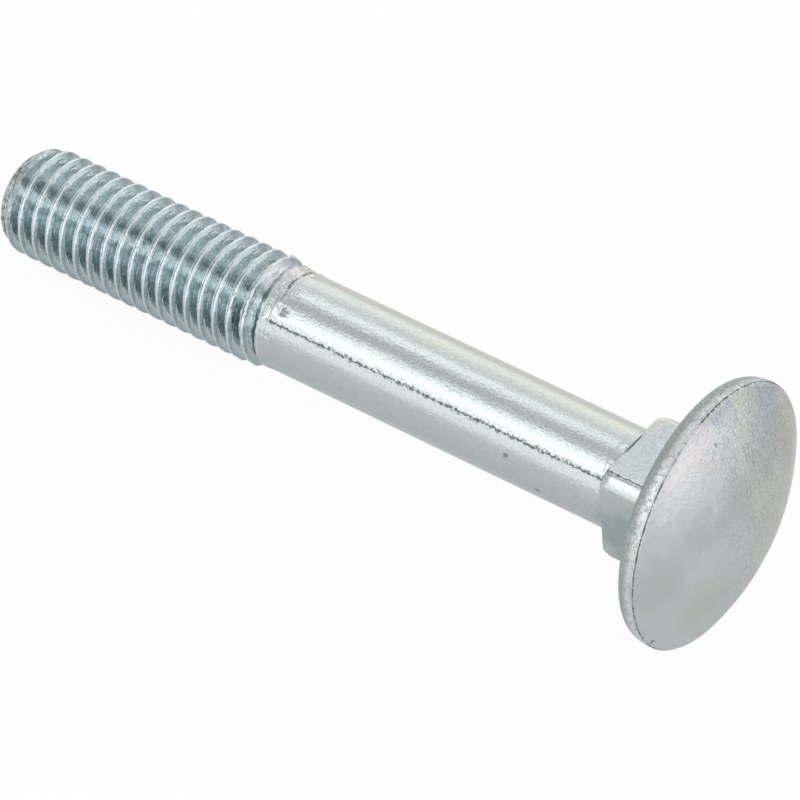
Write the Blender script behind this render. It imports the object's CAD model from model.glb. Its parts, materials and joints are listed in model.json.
import json
import math

import bpy
import numpy as np
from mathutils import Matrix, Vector, noise


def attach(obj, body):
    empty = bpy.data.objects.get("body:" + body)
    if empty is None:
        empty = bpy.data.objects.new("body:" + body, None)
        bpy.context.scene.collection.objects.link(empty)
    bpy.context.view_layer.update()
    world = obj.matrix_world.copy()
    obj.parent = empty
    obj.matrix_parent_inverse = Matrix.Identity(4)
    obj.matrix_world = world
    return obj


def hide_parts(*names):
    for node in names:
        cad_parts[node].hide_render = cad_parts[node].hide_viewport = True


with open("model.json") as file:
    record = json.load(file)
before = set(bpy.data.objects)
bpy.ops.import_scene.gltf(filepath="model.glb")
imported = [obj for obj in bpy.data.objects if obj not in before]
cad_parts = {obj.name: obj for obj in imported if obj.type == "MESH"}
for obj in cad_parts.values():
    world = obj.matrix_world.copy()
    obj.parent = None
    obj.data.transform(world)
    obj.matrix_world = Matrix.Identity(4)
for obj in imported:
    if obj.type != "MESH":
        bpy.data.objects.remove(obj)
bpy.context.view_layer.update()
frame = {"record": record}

# Camera: a long lens from the head's side, high enough to look down on the bolt where it lies.
# It has no roll, and it looks at the shank where the bolt's middle is.
view_azimuth = math.radians(36.603)
view_elevation = math.radians(48.416)
view_distance = 0.59883
aim = Vector((0.003600, -0.001727, 0.007182))

back = Vector(
    (
        math.sin(view_azimuth) * math.cos(view_elevation),
        -math.cos(view_azimuth) * math.cos(view_elevation),
        math.sin(view_elevation),
    )
)
camera_data = bpy.data.cameras.new("camera")
camera_data.sensor_width = 36
camera_data.lens = 322.63
camera_data.clip_start = 0.05
camera_data.clip_end = 20
camera = bpy.data.objects.new("camera", camera_data)
camera.location = aim + back * view_distance
camera.rotation_mode = "QUATERNION"
camera.rotation_quaternion = (-back).to_track_quat("-Z", "Y")
bpy.context.scene.collection.objects.link(camera)
bpy.context.scene.camera = camera

# Bolt: one piece of low carbon steel wire, headed cold in a die, with its thread rolled on.
# It was barrel plated with zinc and given a thin clear-blue passivation.
# It is modelled in its own frame, in millimetres from the middle of the head's underside: Z runs
# along the axis towards the dome, and X points down as the bolt lies.
bolt_l = 70.55
thread_r, thread_pitch = 4.925, 1.5
thread_l, runout_l, crest_start = 26.0, 3.0, -95.0
tip_l, tip_round = 2.5, 3.1
shank_r = 4.45
neck_half, flat_l, flat_lean, neck_turn = 4.825, 6.45, 22.0, -1.1
corner_r, corner_l, corner_round = 6.175, 6.95, 1.5
neck_off = (0.125, -0.048)
rim_r, rim_h, dome_edge = 11.93, 1.8, 11.9
head_h, head_offset = 5.35, 0.65
head_lean_up, head_lean_side = 0.0049, 0.0136


def smooth_min(a, b, width):
    share = np.clip(0.5 + 0.5 * (b - a) / width, 0, 1)
    return b + (a - b) * share - width * share * (1 - share)


def smooth_max(a, b, width):
    return -smooth_min(-a, -b, width)


def smooth_step(x):
    x = np.clip(x, 0, 1)
    return x * x * (3 - 2 * x)


# A field of soft random waves, from -1 to 1, over rows of places in millimetres.
def waves(places, size):
    return np.array([noise.noise(Vector(p) / size) for p in np.reshape(places, (-1, 3))])


# Columns of the mesh round the axis, closer together at the edges of the neck's corners.
half = np.linspace(0, 45, 4501)
edge = math.degrees(math.acos(neck_half / corner_r))
density = np.cumsum(1 + 4 * np.exp(-(((half - edge) / 3) ** 2)))
half_columns = np.interp(np.linspace(density[0], density[-1], 25), density, half)
side = np.concatenate([-half_columns[::-1], half_columns[1:-1]])
columns = np.concatenate([neck_turn + 90 * k + side for k in range(4)])
column_n = len(columns)
cos_c, sin_c = np.cos(np.radians(columns)), np.sin(np.radians(columns))


def point_radius(y):
    return thread_r - tip_round + np.sqrt(tip_round**2 - np.maximum(0, tip_l - y) ** 2)


points = []
grooves = []
faces = []


def ring(radius, z, shift=0.0, groove=0.0):
    start = len(points)
    radius = np.broadcast_to(radius, column_n)
    z = np.broadcast_to(z, column_n)
    x, y = radius * cos_c - shift, radius * sin_c
    points.extend(zip(x, y, z + (head_lean_up * x - head_lean_side * y) * shift / head_offset))
    grooves.extend(np.broadcast_to(groove, column_n))
    return np.arange(start, start + column_n)


def join(low, high):
    for a, b, c, d in zip(low, np.roll(low, -1), np.roll(high, -1), high):
        faces.append((a, b, c, d))


# Tip: the end face, a little dished where the wire was cut, up to the edge of the rounded point.
# The end face is a micron inside the length, so that the mesh stays in the box of the solid.
tip_z = -bolt_l + 0.001
dish_depth, dish_r = 0.08, 3.5
points.append((0, 0, tip_z + dish_depth))
grooves.append(0)
dish = (0.6, 1.5, 2.4, 3.1, dish_r)
rings = [ring(r, tip_z + dish_depth * (1 - (r / dish_r) ** 2)) for r in dish]
tip_edge = ring(point_radius(np.zeros(1)), tip_z)
for a, b in zip(rings[0], np.roll(rings[0], -1)):
    faces.append((0, b, a))
for low, high in zip(rings, rings[1:] + [tip_edge]):
    join(low, high)

# Thread: rows of points that climb with the helix. Along one pitch they make a crest an eighth
# of it wide with rubbed edges, two straight flanks and a rounded root. Each point of the form has
# its share of the pitch and its depth below the crest.
form = [
    (-0.062, 0.045),
    (-0.045, 0.008),
    (0.025, 0.0),
    (0.078, 0.004),
    (0.096, 0.04),
    (0.118, 0.092),
    (0.21, 0.32),
    (0.325, 0.605),
    (0.412, 0.826),
    (0.45, 0.908),
    (0.485, 0.955),
    (0.525, 0.97),
    (0.565, 0.955),
    (0.6, 0.908),
    (0.635, 0.826),
    (0.72, 0.605),
    (0.83, 0.32),
]
form_n = len(form)
# The place of a row is its distance from the tip. The rows go a little past the run-out, to where
# they are round, and there are spare turns at both ends, whose points join the end rings.
end_y = thread_l + runout_l + 0.9
turns_below = 3
turn_n = math.ceil(end_y / thread_pitch) + turns_below + 1
row_n = form_n * turn_n
turns = np.repeat(np.arange(turn_n) - turns_below, form_n)[:, None]
climb = ((columns - crest_start) / 360)[None, :]
row_y = (turns + np.tile([s for s, d in form], turn_n)[:, None] + climb) * thread_pitch
row_depth = np.tile([d for s, d in form], turn_n)[:, None] + 0 * climb
crest = thread_r - (thread_r - shank_r) * smooth_step((row_y - thread_l) / runout_l)
row_depth *= 1 - smooth_step((row_y - thread_l - 0.5) / 2.2)
row_r = smooth_min(point_radius(np.clip(row_y, 0, None)), crest - row_depth, 0.12)
thread_end = ring(shank_r, end_y - bolt_l)
below, above = row_y <= 0.0, row_y >= end_y
index = np.where(below, tip_edge[None, :], thread_end[None, :])
own = ~(below | above)
index[own] = len(points) + np.arange(own.sum())

# The rolling dies left nicks and small burrs on the lips, mostly where the thread runs out. There
# are faint rings up to the shank, and on the upper side a shallow dip and a low ridge after them.
rings_y, plain_y = 27.6, 29.3
dip_y, ridge_y = 29.15, 29.5
rows = np.stack([(row_r * cos_c)[own], (row_r * sin_c)[own], row_y[own] - bolt_l], 1)
lip = np.clip(1 - row_depth[own] / 0.12, 0, 1) * np.clip(row_y[own] - 1, 0, 1)
fading = smooth_step((row_y[own] - thread_l + 1.5) / 1.5) * smooth_step((plain_y - row_y[own]) / 1.2)
nicks = 0.12 * lip * np.clip(waves(rows, 0.45) - 0.15, 0, 1) + 0.14 * fading * waves(rows, 0.5)
ringed = smooth_step((row_y[own] - rings_y) / 0.3) * smooth_step((plain_y - row_y[own]) / 0.4)
nicks += 0.03 * ringed * np.sin(2 * math.pi * row_y[own] / 0.45)
upper = smooth_step((rows[:, 1] + 2.2) / 1.2) * smooth_step(-rows[:, 0] / 3)
nicks -= 0.07 * upper * np.exp(-(((row_y[own] - ridge_y) / 0.14) ** 2))
nicks += 0.05 * upper * np.exp(-(((row_y[own] - dip_y) / 0.12) ** 2))
rows[:, :2] *= (1 - nicks / row_r[own])[:, None]
points.extend(map(tuple, rows))
grooves.extend(row_depth[own])
wrapped = np.vstack([index[form_n:, :1], np.full((form_n, 1), thread_end[0])])
index = np.hstack([index, wrapped])
for i in range(row_n - 1):
    for j in range(column_n):
        corners = (index[i, j], index[i, j + 1], index[i + 1, j + 1], index[i + 1, j])
        kept = tuple(c for k, c in enumerate(corners) if c != corners[k - 1])
        if len(kept) > 2:
            faces.append(kept)

# Shank: drawn wire, left as it came between the rolled thread and the neck.
last = thread_end
for z in np.linspace(end_y - bolt_l + 1, -8.0, 16):
    new = ring(shank_r, z)
    join(last, new)
    last = new

# Square neck: rounded corners in the outline of the die, with a leaning shoulder on each flat. It
# stands a little off the shank's axis. A lap that holds dirt runs round its foot, and its root
# widens where it meets the head.
lap_start, lap_end = -7.3, -6.1
root_l, root_rise = 0.4, 0.35
lean = math.tan(math.radians(flat_lean))


def neck_radius(angles, z):
    flat = np.radians((angles - neck_turn + 45) % 90 - 45)
    bar = neck_half / np.cos(flat)
    shoulder = (shank_r + (z + flat_l) / lean) / np.cos(flat)
    sunk = max(0.0, corner_round - corner_l - z)
    outline = corner_r - corner_round + math.sqrt(max(0.0, corner_round**2 - sunk**2))
    if z < -corner_l:
        outline = 0
    return smooth_min(smooth_min(bar, shoulder, 0.25), outline, 0.3)


# Rows of the neck: close together at its shoulders and its root, and sparse between them.
shoulder_z = np.arange(-7.6, -4.9, 0.07)
flat_z = np.arange(-4.8, -0.9, 0.6)
root_z = [-0.6, -0.35, -0.2, -0.1, -0.04]
for z in np.concatenate([shoulder_z, flat_z, root_z]):
    # The columns are round the shank's axis, so the radius is found in a few steps.
    r = neck_radius(columns, z)
    for _ in range(4):
        x, y = r * cos_c - neck_off[0], r * sin_c - neck_off[1]
        r = r + neck_radius(np.degrees(np.arctan2(y, x)), z) - np.hypot(x, y)
    r = smooth_max(r, shank_r, 0.15)
    lap = 1.3 * np.exp(-(((r - shank_r - 0.22) / 0.2) ** 2)) * (lap_start < z < lap_end)
    r = r + root_rise * max(0.0, 1 + z / root_l) ** 2
    new = ring(r - 0.04 * lap, z, 0, lap)
    join(last, new)
    last = new
neck_root = r

# Head: a flat seat, a rim that bulges towards the dome, the lip and the crease that the die left
# round it, and the shallow dome, which is slightly uneven. Each point of the rim has its distance
# inside the widest part, its height and its share of the crease.
rim = [
    (0.72, 0.0, 0),
    (0.60, 0.03, 0),
    (0.50, 0.08, 0),
    (0.41, 0.14, 0),
    (0.33, 0.22, 0),
    (0.255, 0.33, 0),
    (0.19, 0.46, 0),
    (0.135, 0.62, 0),
    (0.09, 0.8, 0),
    (0.052, 0.98, 0),
    (0.024, 1.16, 0),
    (0.006, 1.32, 0),
    (0.0, 1.45, 0),
    (0.008, 1.58, 0),
    (0.025, 1.69, 0),
    (0.045, 1.75, 0.5),
    (0.07, 1.78, 1),
    (0.11, 1.81, 1.05),
    (0.14, 1.86, 0.75),
    (0.17, 1.895, 0),
]
seat_r = rim_r - rim[0][0]
for share in (0.0, 0.1, 0.3, 0.6, 0.85):
    r = neck_root + 0.05 + (seat_r - neck_root - 0.05) * share
    new = ring(r, 0, head_offset * share)
    join(last, new)
    last = new
dome_rise = head_h - rim_h
dome_r = (dome_edge**2 + dome_rise**2) / (2 * dome_rise)
profile = [(rim_r - inside, z, crease) for inside, z, crease in rim]
for r in np.concatenate([[11.68, 11.55, 11.35, 11.1], np.linspace(10.8, 0.5, 40)]):
    profile.append((r, head_h - dome_r + math.sqrt(dome_r**2 - r**2), 0))
circle = np.stack([cos_c, sin_c, 0 * cos_c], 1)
# The crease comes and goes round the head, the rim has shallow dents, and the dome is uneven.
for r, z, crease in profile:
    wander = waves(circle * r + (0, 0, 7), 1.1)
    depth = crease * (0.6 + 0.6 * np.clip(waves(circle * r + (0, 0, 3), 0.8) + 0.5, 0, 1))
    dents = 0.045 * wander * smooth_step((z - 0.7) / 0.5) * smooth_step((2.1 - z) / 0.3)
    uneven = 0.05 * (waves(circle * r + (0, 0, 5), 3.5) - 0.6) * smooth_step((z - rim_h) / 0.6)
    new = ring(r - abs(dents), z - 0.06 * depth + uneven, head_offset, depth)
    join(last, new)
    last = new
points.append((-head_offset, 0, head_h - head_lean_up * head_offset + uneven.mean()))
grooves.append(0)
top = len(points) - 1
for a, b in zip(last, np.roll(last, -1)):
    faces.append((a, b, top))

# The mesh is turned to lie as the solid does. The neck's mount is halfway along its flats, and gives
# the middle of the head's underside.
mesh = bpy.data.meshes.new("carriage_bolt")
mounts = {m["name"]: m for m in frame["record"]["mounts"]}
towards_tip = Vector(mounts["square_neck"]["axis"])
seat = Vector(mounts["square_neck"]["pos_m"]) - towards_tip * flat_l / 2000
z_axis = -towards_tip
y_axis = Vector((0, 1, 0))
x_axis = y_axis.cross(z_axis)
turned = np.array(points) @ np.array([x_axis, y_axis, z_axis])
mesh.from_pydata(turned / 1000 + np.array(seat), [], [tuple(int(i) for i in f) for f in faces])
place = mesh.attributes.new("place_mm", "FLOAT_VECTOR", "POINT")
place.data.foreach_set("vector", np.array(points, dtype=np.float32).ravel())
groove = mesh.attributes.new("groove_mm", "FLOAT", "POINT")
groove.data.foreach_set("value", np.array(grooves, dtype=np.float32))
mesh.validate(verbose=True)
mesh.update()
mesh.polygons.foreach_set("use_smooth", [True] * len(mesh.polygons))
bolt = bpy.data.objects.new("carriage_bolt", mesh)
bpy.context.scene.collection.objects.link(bolt)


def to_linear(hex_colour):
    channels = [int(hex_colour[i : i + 2], 16) / 255 for i in (1, 3, 5)]
    return [c / 12.92 if c <= 0.04045 else ((c + 0.055) / 1.055) ** 2.4 for c in channels] + [1.0]


def add_node(tree, kind, inputs=(), **settings):
    node = tree.nodes.new("ShaderNode" + kind)
    for name, value in settings.items():
        setattr(node, name, value)
    for key, value in dict(inputs).items():
        if isinstance(value, bpy.types.Node):
            value = value.outputs[0]
        if isinstance(value, bpy.types.NodeSocket):
            tree.links.new(value, node.inputs[key])
        else:
            node.inputs[key].default_value = value
    return node


# Bright zinc: a satin metal with a fine grain. The passivation film gives it faint clouds of
# lilac, blue and straw, and it is a blue grey on the thread.
zinc = bpy.data.materials.new("blue_passivated_zinc_plate")
zinc.use_nodes = True
tree = zinc.node_tree
shader = tree.nodes["Principled BSDF"]
shader.inputs["Metallic"].default_value = 1.0
where = add_node(tree, "Attribute", attribute_name="place_mm").outputs["Vector"]
cut = add_node(tree, "Attribute", attribute_name="groove_mm").outputs["Fac"]
apart = add_node(tree, "SeparateXYZ", {0: where})
across, aside, along = apart.outputs
is_head = add_node(tree, "MapRange", {"Value": along, "From Min": -0.1, "From Max": 0.1})
not_head = add_node(tree, "Math", {0: 1.0, 1: is_head}, operation="SUBTRACT")


def shifted(size, reach):
    drift = add_node(tree, "TexNoise", {"Vector": where, "Scale": 1 / size, "Detail": 3.0})
    drift = drift.outputs["Color"]
    drift = add_node(tree, "VectorMath", {0: drift, 1: (0.5, 0.5, 0.5)}, operation="SUBTRACT")
    drift = add_node(tree, "VectorMath", {0: drift, "Scale": reach}, operation="SCALE")
    return add_node(tree, "VectorMath", {0: where, 1: drift}, operation="ADD")


# Ground tone: cool, and more like straw on the +Y side.
tone = add_node(tree, "TexNoise", {"Vector": where, "Scale": 0.25, "Detail": 2.0})
tone = add_node(tree, "Math", {0: aside, 1: 0.3, 2: tone}, operation="MULTIPLY_ADD")
tone = add_node(tree, "MapRange", {"Value": tone, "From Min": 0.55, "From Max": 1.0})
colour = add_node(tree, "Mix", {0: tone, 6: to_linear("#BDC5C4"), 7: to_linear("#C4C5BF")}, data_type="RGBA")

# Thread: a thicker, blue grey film with marks along the helix, thinner on top and underneath. It
# ends raggedly at the run-out. The phase is 0 at one crest and 1 at the next.
pitch_a_radian = thread_pitch / (2 * math.pi)
crest_share = (bolt_l / thread_pitch + crest_start / 360) % 1
ragged = add_node(tree, "TexNoise", {"Vector": where, "Scale": 1.6, "Detail": 3.0})
turn = add_node(tree, "Math", {0: aside, 1: across}, operation="ARCTAN2")
past = add_node(tree, "Math", {0: turn, 1: 0.0}, operation="LESS_THAN")
past = add_node(tree, "Math", {0: past, 1: 2 * math.pi, 2: turn}, operation="MULTIPLY_ADD")
thread_z = add_node(tree, "Math", {0: past, 1: -pitch_a_radian, 2: along}, operation="MULTIPLY_ADD")
thread_z = add_node(tree, "Math", {0: ragged, 1: 1.0, 2: thread_z}, operation="MULTIPLY_ADD")
is_thread = add_node(tree, "MapRange", {"Value": thread_z, "From Min": -42.6, "From Max": -43.0})
phase = {0: turn, 1: -1 / (2 * math.pi), 2: crest_share}
phase = add_node(tree, "Math", phase, operation="MULTIPLY_ADD")
phase = add_node(tree, "Math", {0: along, 1: 1 / thread_pitch, 2: phase}, operation="MULTIPLY_ADD")
phase = add_node(tree, "Math", {0: phase}, operation="FRACT")
rolled = add_node(tree, "CombineXYZ", {0: phase, 1: across, 2: aside})
rolled = add_node(tree, "VectorMath", {0: rolled, 1: (13.0, 0.5, 0.5)}, operation="MULTIPLY")
marks = add_node(tree, "TexNoise", {"Vector": rolled, "Scale": 1.0, "Detail": 3.0})
spots = add_node(tree, "TexNoise", {"Vector": where, "Scale": 2.2, "Detail": 3.0})
marks = add_node(tree, "Math", {0: marks, 1: 2.0, 2: spots}, operation="MULTIPLY_ADD")
thin = add_node(tree, "Math", {0: across, 1: 1.6}, operation="ADD")
thin = add_node(tree, "Math", {0: thin}, operation="ABSOLUTE")
marks = add_node(tree, "Math", {0: thin, 1: 0.17, 2: marks}, operation="MULTIPLY_ADD")
marks = add_node(tree, "MapRange", {"Value": marks, "From Min": 1.45, "From Max": 2.0})
film = add_node(tree, "Mix", {0: marks, 6: to_linear("#90A4A9"), 7: to_linear("#C3D0D3")}, data_type="RGBA")
beside = add_node(tree, "MapRange", {"Value": cut, "From Min": 0.5, "From Max": 0.12, "To Max": 0.55})
film = add_node(tree, "Mix", {0: beside, 6: film.outputs[2], 7: to_linear("#8A9DA2")}, data_type="RGBA")
deep = add_node(tree, "MapRange", {"Value": cut, "From Min": 0.9, "From Max": 0.97, "To Max": 0.8})
film = add_node(tree, "Mix", {0: deep, 6: film.outputs[2], 7: to_linear("#C8D4D7")}, data_type="RGBA")
# Dark and pale bands round the thread, which a polished thread would show by what it mirrors, are
# painted into the film. Each has its turn from below and its reach in degrees, its strength, its
# tint, and whether only the flank before each crest has it.
before = add_node(tree, "Math", {0: phase, 1: 0.75}, operation="SUBTRACT")
before = add_node(tree, "Math", {0: before}, operation="ABSOLUTE")
before = add_node(tree, "MapRange", {"Value": before, "From Min": 0.22, "From Max": 0.12})
wavering = add_node(tree, "Math", {0: ragged, 1: 0.5, 2: turn}, operation="MULTIPLY_ADD")
patchy = {"Value": spots, "From Min": 0.35, "From Max": 0.62, "To Min": 0.4, "To Max": 1.4}
patchy = add_node(tree, "MapRange", patchy)
mean_waver = 0.25
bands = [
    (140, 14, 0.45, "#5E6C70", False),
    (146, 26, 0.8, "#5E6E72", True),
    (-172, 13, 0.4, "#CBD5D9", False),
    (-156, 9, 0.4, "#4E5D62", False),
    (-144, 10, 0.45, "#D0D8DB", False),
    (-132, 6, 0.35, "#566468", False),
    (-118, 13, 0.4, "#BCC8CC", False),
    (-88, 17, 0.85, "#4E5D60", True),
]
for degrees, reach, strength, tint, one_sided in bands:
    middle = math.radians(degrees) + mean_waver
    off = add_node(tree, "Math", {0: wavering, 1: middle}, operation="SUBTRACT")
    off = add_node(tree, "Math", {0: off}, operation="ABSOLUTE")
    off = add_node(
        tree,
        "MapRange",
        {"Value": off, "From Min": math.radians(reach), "From Max": 0.0, "To Max": strength},
        interpolation_type="SMOOTHSTEP",
    )
    off = add_node(tree, "Math", {0: off, 1: before if one_sided else patchy}, operation="MULTIPLY")
    film = add_node(tree, "Mix", {0: off, 6: film.outputs[2], 7: to_linear(tint)}, data_type="RGBA")
# That flank is painted darker still in the last two grooves, on the side that faces -Y.
stain = before
for value, middle, reach in (
    (turn, math.radians(-113), math.radians(22)),
    (along, -43.5, 2.0),
):
    off = add_node(tree, "Math", {0: value, 1: middle}, operation="SUBTRACT")
    off = add_node(tree, "Math", {0: off}, operation="ABSOLUTE")
    off = add_node(tree, "MapRange", {"Value": off, "From Min": reach, "From Max": reach * 0.6})
    stain = add_node(tree, "Math", {0: stain, 1: off}, operation="MULTIPLY")
stain = add_node(tree, "Math", {0: stain, 1: 0.85}, operation="MULTIPLY")
film = add_node(tree, "Mix", {0: stain, 6: film.outputs[2], 7: to_linear("#3B4548")}, data_type="RGBA")
lips = add_node(tree, "MapRange", {"Value": cut, "From Min": 0.06, "From Max": 0.02})
film = add_node(tree, "Mix", {0: lips, 6: film.outputs[2], 7: to_linear("#CFDADE")}, data_type="RGBA")
colour = add_node(tree, "Mix", {0: is_thread, 6: colour.outputs[2], 7: film.outputs[2]}, data_type="RGBA")
# The end face and the point are dark where the wire was cropped, with pale pits.
point_z = add_node(tree, "Math", {0: ragged, 1: 1.6, 2: along}, operation="MULTIPLY_ADD")
is_tip = {"Value": point_z, "From Min": -67.8, "From Max": -68.8, "To Max": 0.8}
is_tip = add_node(tree, "MapRange", is_tip)
pitted = add_node(tree, "MapRange", {"Value": spots, "From Min": 0.42, "From Max": 0.6})
cropped = {0: pitted, 6: to_linear("#626A6A"), 7: to_linear("#C4CBCA")}
cropped = add_node(tree, "Mix", cropped, data_type="RGBA")
colour = add_node(tree, "Mix", {0: is_tip, 6: colour.outputs[2], 7: cropped.outputs[2]}, data_type="RGBA")

# Clouds of the film on the dome, a tone on two sides of the neck, a paler run-out, and small stains:
# place, radius in mm, colour and strength. A cloud's edge wanders much more than a stain's.
clouds = [
    ((-10.5, -3.3, 2.7), 7.0, "#CFCBCD", 0.9),
    ((-8.0, -6.0, 3.3), 4.5, "#CBCACC", 0.6),
    ((-10.0, 0.6, 3.2), 3.0, "#C3CBC9", 0.8),
    ((-7.7, -4.4, 3.6), 3.5, "#C6CCCE", 0.7),
    ((-8.4, 7.0, 2.4), 4.0, "#A9B1BE", 0.8),
    ((-11.9, 1.2, 2.2), 2.2, "#B0B2BF", 0.7),
    ((-6.4, 5.0, 4.0), 4.5, "#AEB5B9", 0.7),
    ((-3.5, 8.5, 3.3), 4.0, "#B2AFA4", 0.8),
    ((-4.7, -1.0, 4.8), 3.5, "#AFB4B2", 0.6),
    ((-4.7, -5.4, 4.3), 3.0, "#ACB3B5", 0.5),
    ((3.2, -5.9, 4.2), 4.0, "#B9B7AF", 0.35),
    ((-1.8, -9.6, 3.1), 4.0, "#AEB6B4", 0.6),
    ((0.5, -4.9, -3.6), 4.4, "#98A9AB", 0.85),
    ((-4.9, 0.8, -3.4), 4.6, "#BBC4CA", 0.85),
    ((-10.4, -0.9, 3.0), 0.3, "#6F7776", 0.9),
    ((5.0, -9.9, 2.1), 0.4, "#4C5251", 0.9),
    ((-4.4, 0.6, -42.4), 3.0, "#CBC9CB", 0.7),
    ((-1.4, -4.2, -16.3), 0.35, "#75807F", 0.9),
    ((0.8, -4.4, -13.1), 0.3, "#75807F", 0.9),
]
stirred, nudged = shifted(2.0, 5.0), shifted(0.3, 0.6)
for centre, radius, tint, strength in clouds:
    vector = stirred if radius > 1 else nudged
    away = add_node(tree, "VectorMath", {0: vector, 1: centre}, operation="DISTANCE")
    away = away.outputs["Value"]
    amount = {"Value": away, "From Min": radius, "From Max": radius * 0.3, "To Max": strength}
    amount = add_node(tree, "MapRange", amount, interpolation_type="SMOOTHSTEP")
    colour = add_node(tree, "Mix", {0: amount, 6: colour.outputs[2], 7: to_linear(tint)}, data_type="RGBA")

# Rim: duller and a little green on its bulge, and burnished on the lip next to the crease.
wavy = add_node(tree, "TexNoise", {"Vector": where, "Scale": 1.5, "Detail": 3.0})
height = add_node(tree, "Math", {0: wavy, 1: 0.5, 2: along}, operation="MULTIPLY_ADD")
for low, high, tint in ((-0.2, 1.25, "#A7B0AC"), (1.5, 2.05, "#CFD5D4")):
    middle, reach = (low + high) / 2, (high - low) / 2
    band = add_node(tree, "Math", {0: height, 1: middle}, operation="SUBTRACT")
    band = add_node(tree, "Math", {0: band}, operation="ABSOLUTE")
    band = {"Value": band, "From Min": reach + 0.1, "From Max": reach - 0.1}
    band = add_node(tree, "MapRange", band)
    band = add_node(tree, "Math", {0: band, 1: is_head}, operation="MULTIPLY")
    colour = add_node(tree, "Mix", {0: band, 6: colour.outputs[2], 7: to_linear(tint)}, data_type="RGBA")

# Pits in the rim: small and dark, from the seat to the crease.
pits = add_node(tree, "TexNoise", {"Vector": where, "Scale": 2.6, "Detail": 5.0, "Roughness": 0.7})
pits = add_node(tree, "MapRange", {"Value": pits, "From Min": 0.5, "From Max": 0.66, "To Max": 0.5})
low_rim = add_node(tree, "MapRange", {"Value": along, "From Min": 2.3, "From Max": 1.6})
low_rim = add_node(tree, "Math", {0: low_rim, 1: is_head}, operation="MULTIPLY")
pits = add_node(tree, "Math", {0: pits, 1: low_rim}, operation="MULTIPLY")
colour = add_node(tree, "Mix", {0: pits, 6: colour.outputs[2], 7: to_linear("#6E7776")}, data_type="RGBA")

# Specks in the plate, from the barrel: they are strongest on the +Y side of the dome.
specks = add_node(tree, "TexNoise", {"Vector": where, "Scale": 3.5, "Detail": 4.0, "Roughness": 0.65})
specks = add_node(tree, "MapRange", {"Value": specks, "From Min": 0.42, "From Max": 0.68})
worn = {"Value": aside, "From Min": -6.0, "From Max": 7.0, "To Min": 0.5, "To Max": 4.0}
worn = add_node(tree, "MapRange", worn)
worn = add_node(tree, "Mix", {0: is_head, 2: 1.0, 3: worn}, data_type="FLOAT")
specked = add_node(tree, "Math", {0: specks, 1: worn}, operation="MULTIPLY")
specked = add_node(tree, "Math", {0: specked, 1: 0.2}, operation="MULTIPLY")
colour = add_node(tree, "Mix", {0: specked, 6: colour.outputs[2], 7: to_linear("#8D9796")}, data_type="RGBA")

# Laps of the forging, as thin broken dark lines: one along the wire, and one along the neck's upper
# corner on the -Y side. Each has its turn from below, its radius, its ends and its width.
jagged = add_node(tree, "TexNoise", {"Vector": where, "Scale": 3.5, "Detail": 4.0, "Roughness": 0.7})
jagged = add_node(tree, "Math", {0: jagged, 1: 0.5}, operation="SUBTRACT")
broken = add_node(tree, "TexNoise", {"Vector": where, "Scale": 3.0, "Detail": 3.0, "Roughness": 0.7})
laps = []
for degrees, radius, start, end, width in (
    (228.9, shank_r, -41.65, -6.5, 0.23),
    (217.2, corner_r, -6.3, -0.4, 0.12),
):
    off = add_node(tree, "Math", {0: turn, 1: math.radians(degrees - 360)}, operation="SUBTRACT")
    off = add_node(tree, "Math", {0: off, 1: radius}, operation="MULTIPLY")
    off = add_node(tree, "Math", {0: jagged, 1: width * 3, 2: off}, operation="MULTIPLY_ADD")
    off = add_node(tree, "Math", {0: off}, operation="ABSOLUTE")
    wide = {"Value": broken, "From Min": 0.44, "From Max": 0.66, "To Min": 0.02, "To Max": width}
    wide = add_node(tree, "MapRange", wide)
    lap = add_node(tree, "Math", {0: off, 1: wide}, operation="DIVIDE")
    lap = add_node(tree, "MapRange", {"Value": lap, "From Min": 1.5, "From Max": 0.3, "To Max": 0.85})
    middle, reach = (start + end) / 2, (end - start) / 2
    inside = add_node(tree, "Math", {0: along, 1: middle, 2: reach}, operation="COMPARE")
    laps.append(add_node(tree, "Math", {0: lap, 1: inside}, operation="MULTIPLY"))
# A short crack follows the last, faint turn of the thread on its upper side.
crack_z = -41.4
off = add_node(tree, "Math", {0: jagged, 1: 0.7, 2: along}, operation="MULTIPLY_ADD")
crack = add_node(tree, "MapRange", {"Value": broken, "From Min": 0.38, "From Max": 0.6, "To Max": 0.17})
crack = add_node(tree, "Math", {0: off, 1: crack_z, 2: crack}, operation="COMPARE")
inside = add_node(tree, "Math", {0: across, 1: -5.0, 2: 2.4}, operation="COMPARE")
beyond = add_node(tree, "Math", {0: aside, 1: 2.0, 2: 2.6}, operation="COMPARE")
inside = add_node(tree, "Math", {0: inside, 1: beyond}, operation="MULTIPLY")
inside = add_node(tree, "Math", {0: inside, 1: 0.75}, operation="MULTIPLY")
laps.append(add_node(tree, "Math", {0: crack, 1: inside}, operation="MULTIPLY"))
# The crease round the dome and the foot of the neck hold dirt in the same way.
fold = add_node(tree, "Math", {0: 1.0, 1: is_thread}, operation="SUBTRACT")
fold = add_node(tree, "Math", {0: fold, 1: cut}, operation="MULTIPLY")
fold = add_node(tree, "Math", {0: jagged, 1: 1.8, 2: fold}, operation="MULTIPLY_ADD")
fold = add_node(tree, "MapRange", {"Value": fold, "From Min": 0.55, "From Max": 1.0, "To Max": 0.8})
for lap in laps:
    fold = add_node(tree, "Math", {0: fold, 1: lap}, operation="MAXIMUM")
colour = add_node(tree, "Mix", {0: fold, 6: colour.outputs[2], 7: to_linear("#464B4B")}, data_type="RGBA")
tree.links.new(colour.outputs[2], shader.inputs["Base Color"])

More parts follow.
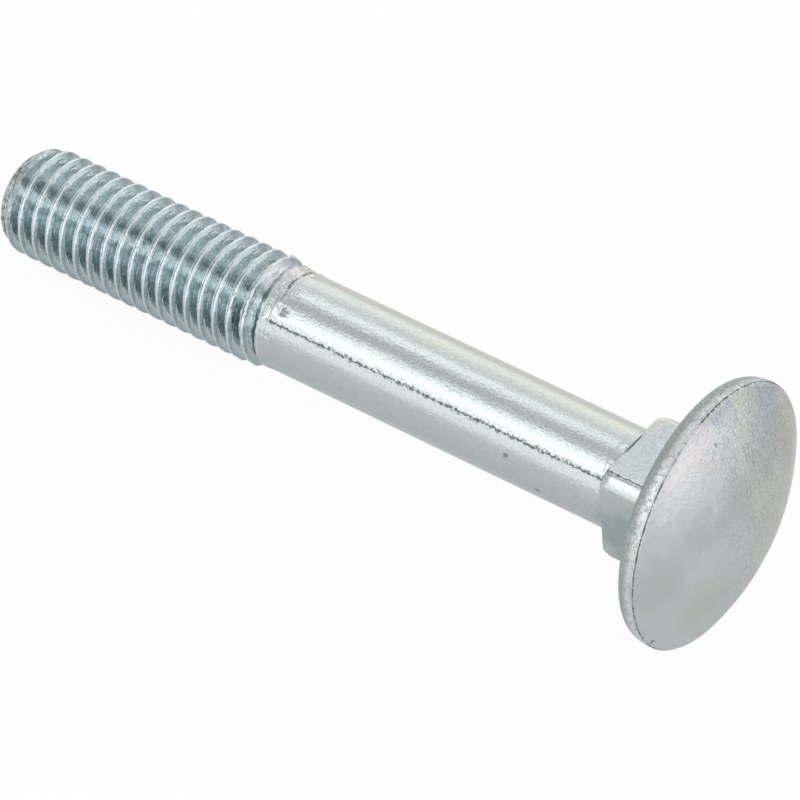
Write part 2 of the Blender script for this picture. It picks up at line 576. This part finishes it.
# Gloss: the drawn shank is brightest, the forged head is duller, and the low rim and the laps are
# dull.
gloss = add_node(tree, "Mix", {0: is_head, 2: 0.17, 3: 0.28}, data_type="FLOAT")
gloss = add_node(tree, "Mix", {0: low_rim, 2: gloss, 3: 0.38}, data_type="FLOAT")
rubbed = add_node(tree, "Mix", {0: lips, 2: 0.13, 3: 0.24}, data_type="FLOAT")
gloss = add_node(tree, "Mix", {0: is_thread, 2: gloss, 3: rubbed}, data_type="FLOAT")
gloss = add_node(tree, "Mix", {0: fold, 2: gloss, 3: 0.6}, data_type="FLOAT")
tree.links.new(gloss.outputs[0], shader.inputs["Roughness"])

# Relief, in mm: the plate's grain of about 0.2 mm, drawing marks along the shank and the neck,
# marks along the thread, a coarser skin with hair scratches on the head, and the pits and laps.
grain = add_node(tree, "TexNoise", {"Vector": where, "Scale": 4.5, "Detail": 3.0})
drawn = add_node(tree, "VectorMath", {0: where, 1: (1.0, 1.0, 0.12)}, operation="MULTIPLY")
drawn = add_node(tree, "TexNoise", {"Vector": drawn, "Scale": 2.5, "Detail": 4.0})
drawn = add_node(tree, "Math", {0: drawn, 1: not_head}, operation="MULTIPLY")
drawn = add_node(tree, "Math", {0: drawn, 1: 0.018}, operation="MULTIPLY")
grain = add_node(tree, "Math", {0: grain, 1: worn}, operation="MULTIPLY")
relief = add_node(tree, "Math", {0: grain, 1: 0.03, 2: drawn}, operation="MULTIPLY_ADD")
scored = add_node(tree, "Math", {0: marks, 1: is_thread}, operation="MULTIPLY")
relief = add_node(tree, "Math", {0: scored, 1: 0.018, 2: relief}, operation="MULTIPLY_ADD")
hair = {"Vector": where, "Rotation": (0.0, 0.0, 0.9), "Scale": (0.35, 7.0, 1.0)}
hair = add_node(tree, "Mapping", hair)
hair = add_node(tree, "TexNoise", {"Vector": hair, "Scale": 1.0, "Detail": 2.0})
hair = add_node(tree, "MapRange", {"Value": hair, "From Min": 0.62, "From Max": 0.7})
far_side = add_node(tree, "MapRange", {"Value": aside, "From Min": -4.0, "From Max": 3.0})
hair = add_node(tree, "Math", {0: hair, 1: far_side}, operation="MULTIPLY")
hair = add_node(tree, "Math", {0: hair, 1: is_head}, operation="MULTIPLY")
relief = add_node(tree, "Math", {0: hair, 1: 0.1, 2: relief}, operation="MULTIPLY_ADD")
peel = add_node(tree, "TexNoise", {"Vector": where, "Scale": 1.1, "Detail": 5.0, "Roughness": 0.6})
peel = add_node(tree, "Math", {0: peel, 1: is_head}, operation="MULTIPLY")
relief = add_node(tree, "Math", {0: peel, 1: 0.055, 2: relief}, operation="MULTIPLY_ADD")
relief = add_node(tree, "Math", {0: pits, 1: -0.06, 2: relief}, operation="MULTIPLY_ADD")
relief = add_node(tree, "Math", {0: fold, 1: -0.03, 2: relief}, operation="MULTIPLY_ADD")
bump = add_node(tree, "Bump", {"Height": relief, "Strength": 1.0, "Distance": 0.001})
tree.links.new(bump.outputs[0], shader.inputs["Normal"])
mesh.materials.append(zinc)

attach(bolt, "root")
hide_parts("bolt")

# Floor: a plain white sheet, large enough to fill every view. The camera sees it almost white, with
# a pale shadow under the bolt, and the metal sees it somewhat whiter than it is lit.
floor_mesh = bpy.data.meshes.new("floor")
half_side = 3.0
corners = [
    (-half_side, -half_side, 0),
    (half_side, -half_side, 0),
    (half_side, half_side, 0),
    (-half_side, half_side, 0),
]
floor_mesh.from_pydata(corners, [], [(0, 1, 2, 3)])
floor = bpy.data.objects.new("floor", floor_mesh)
bpy.context.scene.collection.objects.link(floor)
paper = bpy.data.materials.new("white_paper")
paper.use_nodes = True
tree = paper.node_tree
sheet = tree.nodes["Principled BSDF"]
sheet.inputs["Base Color"].default_value = to_linear("#E8E8E8")
sheet.inputs["Roughness"].default_value = 0.9
path = add_node(tree, "LightPath")
mirrored = {0: path.outputs["Is Glossy Ray"], 1: path.outputs["Is Transmission Ray"]}
mirrored = add_node(tree, "Math", mirrored, operation="ADD")
seen = add_node(tree, "Math", {0: mirrored, 1: 0.25}, operation="MULTIPLY")
seen = {0: path.outputs["Is Camera Ray"], 1: 0.93, 2: seen}
seen = add_node(tree, "Math", seen, operation="MULTIPLY_ADD")
white = add_node(tree, "Emission", {"Color": (1, 1, 1, 1), "Strength": 1.0})
both = add_node(tree, "MixShader", {0: seen, 1: sheet, 2: white})
tree.links.new(both.outputs[0], tree.nodes["Material Output"].inputs["Surface"])
floor_mesh.materials.append(paper)

# Light: a white studio room, darker overhead and in one soft patch low on the -X side, with a large
# softbox in front on the left and a small one at the back. The camera sees the room as plain white.
world = bpy.data.worlds.new("studio")
bpy.context.scene.world = world
world.use_nodes = True
tree = world.node_tree
way = add_node(tree, "TexCoord")
height = add_node(tree, "SeparateXYZ", {0: way.outputs["Generated"]})
height = height.outputs["Z"]
room = {"Value": height, "From Min": 0.15, "From Max": 0.85, "To Min": 1.45, "To Max": 0.95}
room = add_node(tree, "MapRange", room, interpolation_type="SMOOTHSTEP")
dim = {0: way.outputs["Generated"], 1: (-0.945, 0.035, 0.325)}
dim = add_node(tree, "VectorMath", dim, operation="DOT_PRODUCT").outputs["Value"]
dim = {"Value": dim, "From Min": 0.71, "From Max": 0.97, "To Min": 1.0, "To Max": 0.45}
dim = add_node(tree, "MapRange", dim)
room = add_node(tree, "Math", {0: room, 1: dim}, operation="MULTIPLY")
path = add_node(tree, "LightPath")
seen = add_node(tree, "Mix", {0: path.outputs["Is Camera Ray"], 2: room, 3: 1.0}, data_type="FLOAT")
tree.links.new(seen.outputs[0], tree.nodes["Background"].inputs["Strength"])
tree.nodes["Background"].inputs["Color"].default_value = (1, 1, 1, 1)


def softbox(name, azimuth, elevation, distance, size_x, size_y, power):
    data = bpy.data.lights.new(name, "AREA")
    data.shape = "RECTANGLE"
    data.size, data.size_y, data.energy = size_x, size_y, power
    lamp = bpy.data.objects.new(name, data)
    a, e = math.radians(azimuth), math.radians(elevation)
    to_lamp = Vector((math.cos(a) * math.cos(e), math.sin(a) * math.cos(e), math.sin(e)))
    lamp.location = to_lamp * distance
    lamp.rotation_mode = "QUATERNION"
    lamp.rotation_quaternion = to_lamp.to_track_quat("Z", "Y")
    bpy.context.scene.collection.objects.link(lamp)


softbox("left_softbox", azimuth=-131, elevation=43, distance=0.9, size_x=0.52, size_y=0.42, power=0.7)
softbox("back_softbox", azimuth=148, elevation=50, distance=0.9, size_x=0.3, size_y=0.22, power=0.22)

bpy.context.scene.view_settings.view_transform = "Standard"
